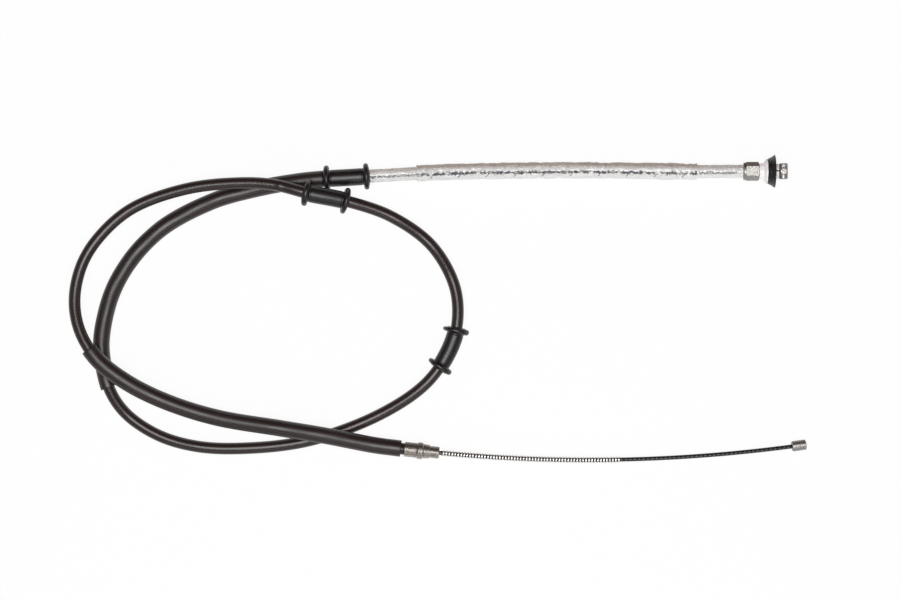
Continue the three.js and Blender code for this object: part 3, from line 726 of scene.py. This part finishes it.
def make_lamps(scene):
    """A softbox overhead, a strip on the -Y side, and a pale room that is browner on the +Y side."""
    make_lamp("key_softbox", (-0.05, -0.14, 1.62), (1.0, 0.8), 20)
    make_lamp("near_strip", (0.1, -1.3, 0.9), (1.8, 0.3), 3)
    world = bpy.data.worlds.new("studio")
    world.use_nodes = True
    tree = world.node_tree
    tree.nodes.clear()
    camera_ray = add_node(tree, "LightPath").outputs["Is Camera Ray"]
    strength = add_node(tree, "MapRange", inputs={"Value": camera_ray, "To Min": 0.3, "To Max": 1.0})
    direction = add_node(tree, "SeparateXYZ", inputs={0: add_node(tree, "TexCoord").outputs["Generated"]})
    far_side = add_node(
        tree, "MapRange", inputs={"Value": direction.outputs["Y"], "From Min": 0.1, "From Max": 0.7})
    white = (1, 1, 1)
    room = add_node(tree, "Mix", OF_COLOURS, {0: far_side, 6: white, 7: linear("#8a7064")}).outputs[2]
    seen = add_node(tree, "Mix", OF_COLOURS, {0: camera_ray, 6: room, 7: white}).outputs[2]
    ground = add_node(tree, "Background", inputs={"Color": seen, "Strength": strength})
    add_node(tree, "OutputWorld", inputs={"Surface": ground})
    scene.world = world


class CABLE_OT_casing(bpy.types.Operator):
    """Makes the sheath and, inside it, the winding, the liner and the rope"""

    bl_idname = "cable.casing"
    bl_label = "Casing"

    def execute(self, context):
        whole = (0, casing.length)
        radius = sizes().sheath_radius

        def outer(distance, angle):
            near_knob = math.exp(-((distance - KNOB_PLACE) / KNOB_REACH) ** 2) * max(0.0, math.sin(angle))
            return radius + KNOB_HEIGHT * near_knob - rounded_end(distance, *whole, SHEATH_EDGE)

        def inner(distance, _):
            return radius - SHEATH_WALL + rounded_end(distance, *whole, SHEATH_EDGE)

        stops = steps_between(*whole, 0.0015, SHEATH_EDGE)
        sheath = sleeve("sheath", casing.frame, stops, outer, inner, 36, extruded_pvc())
        finish_piece(sheath, "casing", ["casing_sheath"])
        winding = plain_sleeve(
            "winding", casing.frame, whole, WINDING_RADIUS, WINDING_WALL, 20, 0.004, wound_wire())
        finish_piece(winding, "casing", ["casing_winding"])
        liner = plain_sleeve("liner", casing.frame, whole, LINER_RADIUS, LINER_WALL, 16, 0.004, slick_liner())
        finish_piece(liner, "casing", ["casing_liner"])
        hidden = (STRAIGHT_RUN + HIDDEN_ROPE_GAP, casing.length - STRAIGHT_RUN - HIDDEN_ROPE_GAP)
        core = plain_sleeve(
            "hidden_rope", casing.frame, hidden, sizes().rope_radius, None, 16, 0.004, coated_rope())
        finish_piece(core, "casing", ["inner_rope"])
        return {"FINISHED"}


class CABLE_OT_tubes(bpy.types.Operator):
    """Makes the two protective tubes"""

    bl_idname = "cable.tubes"
    bl_label = "Protective tubes"

    def execute(self, context):
        material = extruded_polyamide()
        radius, wall = sizes().tube_radius, sizes().wall
        for name, (start, end), lumps in (
                ("brake_side_tube", BRAKE_TUBE, 0.00006), ("middle_tube", MIDDLE_TUBE, 0.0003)):
            def outer(distance, angle, start=start, end=end, lumps=lumps):
                place = Vector((distance / 0.014, 0.7 * math.cos(angle), 0.7 * math.sin(angle)))
                lump = lumps * noise.noise(place) * max(0.0, math.sin(angle) + 0.5)
                return radius + lump - rounded_end(distance, start, end, TUBE_EDGE)

            def inner(distance, _, start=start, end=end):
                return radius - wall + rounded_end(distance, start, end, TUBE_EDGE)

            stops = steps_between(start, end, 0.002, TUBE_EDGE)
            tube = sleeve(f"glossy_{name}", casing.frame, stops, outer, inner, 48, material)
            finish_piece(tube, "casing", [name])
        return {"FINISHED"}


GROMMET_PROFILE = {
    "body": 0.0058, "flange": 0.009, "root": 0.0043, "edge": 0.0034, "bore": 0.00435,
}


def grommet_outline():
    """A plain body with a thick round-edged flange at each end, which draws in to a groove behind it."""
    g = GROMMET_PROFILE
    inset, tip = (g["root"] - g["edge"]) / 2, g["edge"] / 2
    flange = [(0, g["body"] - 0.0002), (0.0001, g["body"] + 0.0004), (inset, g["flange"] - 1.6 * tip)]
    for i in range(11):
        angle = math.pi * i / 10
        flange.append((inset + tip * (1 - math.cos(angle)), g["flange"] - tip * (1 - math.sin(angle))))
    flange += [
        (g["root"] - 0.0003, g["flange"] - 1.7 * tip), (g["root"], g["body"] - 0.0001),
        (g["root"] + 0.0006, g["body"] - 0.0002), (g["root"] + 0.0012, g["body"]),
    ]
    far = [(GROMMET_LENGTH - x, r) for x, r in reversed(flange)]
    middle = [(GROMMET_LENGTH * part, g["body"]) for part in (0.25, 0.4, 0.5, 0.6, 0.75)]
    bore = [(GROMMET_LENGTH * part, g["bore"]) for part in (1, 0.8, 0.6, 0.4, 0.2, 0)]
    return flange + middle + far + bore


class CABLE_OT_grommets(bpy.types.Operator):
    """Makes the three rubber grommets"""

    bl_idname = "cable.grommets"
    bl_label = "Grommets"

    def execute(self, context):
        material = moulded_rubber()
        for name, middle in GROMMET_MIDDLES.items():
            start = middle - GROMMET_LENGTH / 2
            grommet = turned(
                f"rubber_{name}", grommet_outline(), lambda x, start=start: casing.frame(start + x), material,
                0.0001)
            finish_piece(grommet, "casing", [name])
        return {"FINISHED"}


def crinkle(distance, angle, radius, creases, seed):
    """Sharp-ridged noise on the surface of a sleeve. The creases hold its height and size."""
    height, size = creases
    place = Vector((distance, radius * math.cos(angle), radius * math.sin(angle))) / size
    return height * (1 - 2 * abs(noise.noise(place + Vector((seed, 0, 0))) * 1.6))


class CABLE_OT_foil(bpy.types.Operator):
    """Makes the foil on the sheath"""

    bl_idname = "cable.foil"
    bl_label = "Foil"

    def execute(self, context):
        def outer(distance, angle):
            return FOIL_RADIUS + crinkle(distance, angle, FOIL_RADIUS, FOIL_CREASES, seed=3)

        wrap = sleeve(
            "foil_wrap_creased", casing.frame, steps_between(FOIL_START, foil_end, 0.0007), outer,
            lambda *_: FOIL_BORE, 40, aluminium_foil("foil_tape", FOIL_RADIUS, 0.6, 0.75))
        finish_piece(wrap, "casing", ["foil_wrap"])
        return {"FINISHED"}


class CABLE_OT_heat_shield(bpy.types.Operator):
    """Makes the crinkled shield, wound from a strip"""

    bl_idname = "cable.heat_shield"
    bl_label = "Heat shield"

    def execute(self, context):
        def outer(distance, angle):
            turn = (distance - shield_start) / LAP_PITCH - angle / (2 * math.pi)
            lap = turn - math.floor(turn)
            folds = crinkle(distance, angle, LOWER_RADIUS, SHIELD_FOLDS, seed=11)
            wrinkles = crinkle(distance, angle, LOWER_RADIUS, SHIELD_WRINKLES, seed=29)
            near_swell = math.exp(-((distance - shield_start - SWELL_PLACE) / SWELL_REACH) ** 2)
            radius = LAP_RADIUS - LAP_STEP * lap + folds + wrinkles + SWELL_HEIGHT * near_swell
            return min(radius, LOWER_RADIUS) if math.sin(angle) < -0.4 else radius

        stops = steps_between(shield_start, shield_end, 0.0006, TUBE_EDGE)
        shield = sleeve(
            "heat_shield_creased", casing.frame, stops, outer, lambda *_: SHIELD_BORE, 56,
            aluminium_foil("foil_on_cloth", SHIELD_RADIUS, 0.9, 0.95))
        finish_piece(shield, "casing", ["heat_shield"])
        laps = round(SHIELD_LENGTH / LAP_PITCH)
        hooks = [thread_hook(f"hook_{i}", shield_start + LAP_PITCH * (i + 0.5)) for i in range(laps)]
        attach(joined("thread_ends", hooks, sewing_thread()), "casing")
        return {"FINISHED"}


def joined(name, parts, material):
    """One piece from several."""
    work = bmesh.new()
    for part in parts:
        work.from_mesh(part.data)
        bpy.data.objects.remove(part)
    mesh = bpy.data.meshes.new(name)
    work.to_mesh(mesh)
    work.free()
    mesh.materials.append(material)
    made = bpy.data.objects.new(name, mesh)
    bpy.context.scene.collection.objects.link(made)
    return made


def thread_hook(name, place):
    """A short end of thread. It curls down the shield's near side."""
    points = []
    for i in range(9):
        share = i / 8
        angle = math.radians(110 + 26 * share)
        here = casing.frame(place + 0.0011 * (1 - share) ** 1.6 - 0.0009 * share ** 3)
        points.append(here @ Vector((0, HOOK_RADIUS * math.cos(angle), HOOK_RADIUS * math.sin(angle))))
    line = Line(points, 3)
    return plain_sleeve(name, line.frame, (0, line.length), THREAD_RADIUS, None, 8, 0.0003, None)


class CABLE_OT_brake_ferrule(bpy.types.Operator):
    """Makes the turned ferrule at the brake end"""

    bl_idname = "cable.brake_ferrule"
    bl_label = "Brake-end ferrule"

    def execute(self, context):
        outline = [
            (0, 0.0047), (0.0003, 0.005), (0.008, 0.00502), (0.0081, 0.0047), (0.0086, 0.0047),
            (0.0087, 0.0052), (0.0092, 0.00565), (0.012, 0.00565), (0.0125, 0.0052), (0.0126, 0.0046),
            (0.0131, 0.0046),
            (0.0132, 0.00488), (0.017, 0.0045), (0.017, 0.004), (0.0233, 0.004), (0.0236, 0.0037),
            (0.0236, 0.00165), (0.0107, 0.00165), (0.0107, 0.0043), (0, 0.0043),
        ]
        middle = -FERRULE_LENGTH / 2
        place = arc_frame(middle) @ Matrix.Translation((middle, 0, 0))
        ferrule = turned("turned_ferrule", outline, straight(place), turned_steel(), 0.00025)
        finish_piece(ferrule, "casing", ["brake_end_ferrule"])
        return {"FINISHED"}


class CABLE_OT_guard_coil(bpy.types.Operator):
    """Makes the flat wire wound round the bare rope"""

    bl_idname = "cable.guard_coil"
    bl_label = "Guard coil"

    def execute(self, context):
        pitch = sizes().coil_pitch
        turns = int((COIL_END - COIL_START) / pitch)
        middle = sizes().rope_radius + COIL_CLEARANCE + STRIP_THICKNESS / 2
        steps, corners = 20, 16
        section = []
        for i in range(corners):
            angle = 2 * math.pi * i / corners
            section.append((
                STRIP_THICKNESS / 2 * math.copysign(abs(math.cos(angle)) ** 0.8, math.cos(angle)),
                STRIP_WIDTH / 2 * math.copysign(abs(math.sin(angle)) ** 0.7, math.sin(angle))))
        rows, uv_rows = [], []
        for i in range(turns * steps + 1):
            turn = i / steps
            angle = -2 * math.pi * turn
            core = arc_frame(COIL_START + pitch * turn)
            outward = Vector((0, math.cos(angle), math.sin(angle)))
            along = (Vector((0, math.sin(angle), -math.cos(angle))) * 2 * math.pi * middle
                     + Vector((pitch, 0, 0))).normalized()
            here = core @ placed(along, outward, along.cross(outward), outward * middle)
            rows.append([here @ Vector((0, x, y)) for x, y in section])
            uv_rows.append((turn * 2 * math.pi * middle, 2 * STRIP_WIDTH / corners))
        coil = mesh_object("guard_coil_wire", rows, False, spring_steel(), uv_rows)
        finish_piece(coil, "casing", ["guard_coil"])
        return {"FINISHED"}


class CABLE_OT_ropes(bpy.types.Operator):
    """Makes the rope's two ends, which slide"""

    bl_idname = "cable.ropes"
    bl_label = "Rope ends"

    def execute(self, context):
        material, radius = coated_rope(), sizes().rope_radius
        brake = plain_sleeve(
            "brake_rope_coated", arc_frame, brake_rope_span, radius, None, 28, 0.002, material)
        finish_piece(brake, "brake_rope", ["brake_end_rope"])
        span = (CASING_STOP - STRAIGHT_RUN, LEVER_ROPE_END)
        lever = plain_sleeve("lever_rope_coated", lever_frame, span, radius, None, 28, 0.002, material)
        finish_piece(lever, "lever_rope", ["lever_end_rope"])
        return {"FINISHED"}


class CABLE_OT_brake_nipple(bpy.types.Operator):
    """Makes the round nipple at the brake end"""

    bl_idname = "cable.brake_nipple"
    bl_label = "Brake-end nipple"

    def execute(self, context):
        length, radius = BRAKE_NIPPLE_LENGTH, BRAKE_NIPPLE_RADIUS
        chamfer, seat_radius, seat_depth = 0.0005, 0.00155, 0.0078
        outline = [
            (0, radius - chamfer), (chamfer, radius), (length - chamfer, radius), (length, radius - chamfer),
            (length, 0), (seat_depth, 0), (seat_depth, seat_radius), (0, seat_radius),
        ]
        place = arc_frame(nipple_middle) @ Matrix.Translation((-length / 2, 0, 0))
        nipple = turned("cast_brake_nipple", outline, straight(place), diecast_zinc(), 0.0002)
        finish_piece(nipple, "brake_rope", ["brake_end_nipple"])
        return {"FINISHED"}


class CABLE_OT_lever_ferrule(bpy.types.Operator):
    """Gives the hexagonal ferrule its plating and soft edges"""

    bl_idname = "cable.lever_ferrule"
    bl_label = "Lever-end ferrule"

    def execute(self, context):
        soften_node("lever_end_ferrule", plated_steel(), 0.0002)
        return {"FINISHED"}


class CABLE_OT_bush(bpy.types.Operator):
    """Gives the white bush its finish and soft edges"""

    bl_idname = "cable.bush"
    bl_label = "Bush"

    def execute(self, context):
        soften_node("lever_end_bush", moulded_acetal(), 0.00015)
        return {"FINISHED"}


class CABLE_OT_seal(bpy.types.Operator):
    """Makes the rubber seal"""

    bl_idname = "cable.seal"
    bl_label = "Seal"

    def execute(self, context):
        start, end = 0.0061, SEAL_END
        outline = [
            (start, 0.0083), (start + 0.0003, 0.0086), (start + 0.0024, 0.0096), (end - 0.0003, 0.0111),
            (end, SEAL_FRONT_RADIUS), (end, SEAL_FRONT_RADIUS - 0.0009), (end - 0.0009, 0.0096),
            (end - 0.0009, 0.0049), (start, 0.0049),
        ]
        seal = turned("rubber_seal", outline, lever_frame, moulded_rubber(), 0.00025)
        finish_piece(seal, "casing", ["lever_end_seal"])
        return {"FINISHED"}


class CABLE_OT_lever_nipple(bpy.types.Operator):
    """Gives the crosswise barrel its cast finish and soft edges"""

    bl_idname = "cable.lever_nipple"
    bl_label = "Lever-end nipple"

    def execute(self, context):
        material = diecast_zinc()
        soften_node("lever_end_nipple", material, 0.0002)
        outline = [
            (0.0031, 0.0024), (0.0034, 0.0024), (0.0036, 0.0021), (0.00368, 0.0012), (0.0037, 0), (0.0031, 0),
        ]
        place = lever_frame(LEVER_NIPPLE_MIDDLE) @ Matrix.Rotation(-math.pi / 2, 4, "Y")
        cap = turned("boss_cap", outline, straight(place), material, 0.00008)
        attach(cap, "lever_rope")
        return {"FINISHED"}


def soften_node(name, material, width):
    """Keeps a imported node's shape, with its material and a small round on its sharp edges."""
    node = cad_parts[name]
    node.data.materials.clear()
    node.data.materials.append(material)
    weld = node.modifiers.new("weld", "WELD")
    weld.merge_threshold = 1e-6
    bevel = node.modifiers.new("soft_edges", "BEVEL")
    bevel.width, bevel.segments = width, 3
    bevel.limit_method, bevel.angle_limit = "ANGLE", math.radians(28)
    bevel.harden_normals = True


class CABLE_PT_panel(bpy.types.Panel):
    """The cable's sizes, colours and pieces"""

    bl_idname = "CABLE_PT_panel"
    bl_label = "Parking brake cable"
    bl_space_type = "VIEW_3D"
    bl_region_type = "UI"
    bl_category = "Cable"

    def draw(self, context):
        for group in (context.scene.cable_sizes, context.scene.cable_colours):
            for name in group.bl_rna.properties.keys():
                if name not in ("rna_type", "name"):
                    self.layout.prop(group, name)
        for operator in OPERATORS:
            self.layout.operator(operator.bl_idname)


OPERATORS = (
    CABLE_OT_stage, CABLE_OT_casing, CABLE_OT_tubes, CABLE_OT_grommets, CABLE_OT_foil, CABLE_OT_heat_shield,
    CABLE_OT_brake_ferrule, CABLE_OT_guard_coil, CABLE_OT_ropes, CABLE_OT_brake_nipple,
    CABLE_OT_lever_ferrule, CABLE_OT_bush, CABLE_OT_seal, CABLE_OT_lever_nipple,
)
CLASSES = (CableSizes, CableColours, *OPERATORS, CABLE_PT_panel)


def register():
    for cls in CLASSES:
        bpy.utils.register_class(cls)
    bpy.types.Scene.cable_sizes = PointerProperty(type=CableSizes)
    bpy.types.Scene.cable_colours = PointerProperty(type=CableColours)


def unregister():
    del bpy.types.Scene.cable_colours
    del bpy.types.Scene.cable_sizes
    for cls in reversed(CLASSES):
        bpy.utils.unregister_class(cls)


def declare_cords():
    """Works out points along the casing and along the rope's brake end, and keeps none of them."""
    line = [tuple(casing.frame(d).translation) for d in steps_between(0, casing.length, 0.005)]
    start, end = brake_rope_span
    line = [tuple(arc_frame(d).translation) for d in steps_between(start, end, 0.005)]
    tuple(arc_frame(0).translation)


def main():
    register()
    for operator in OPERATORS:
        group, name = operator.bl_idname.split(".")
        getattr(getattr(bpy.ops, group), name)()
    declare_cords()


if __name__ == "__main__":
    main()
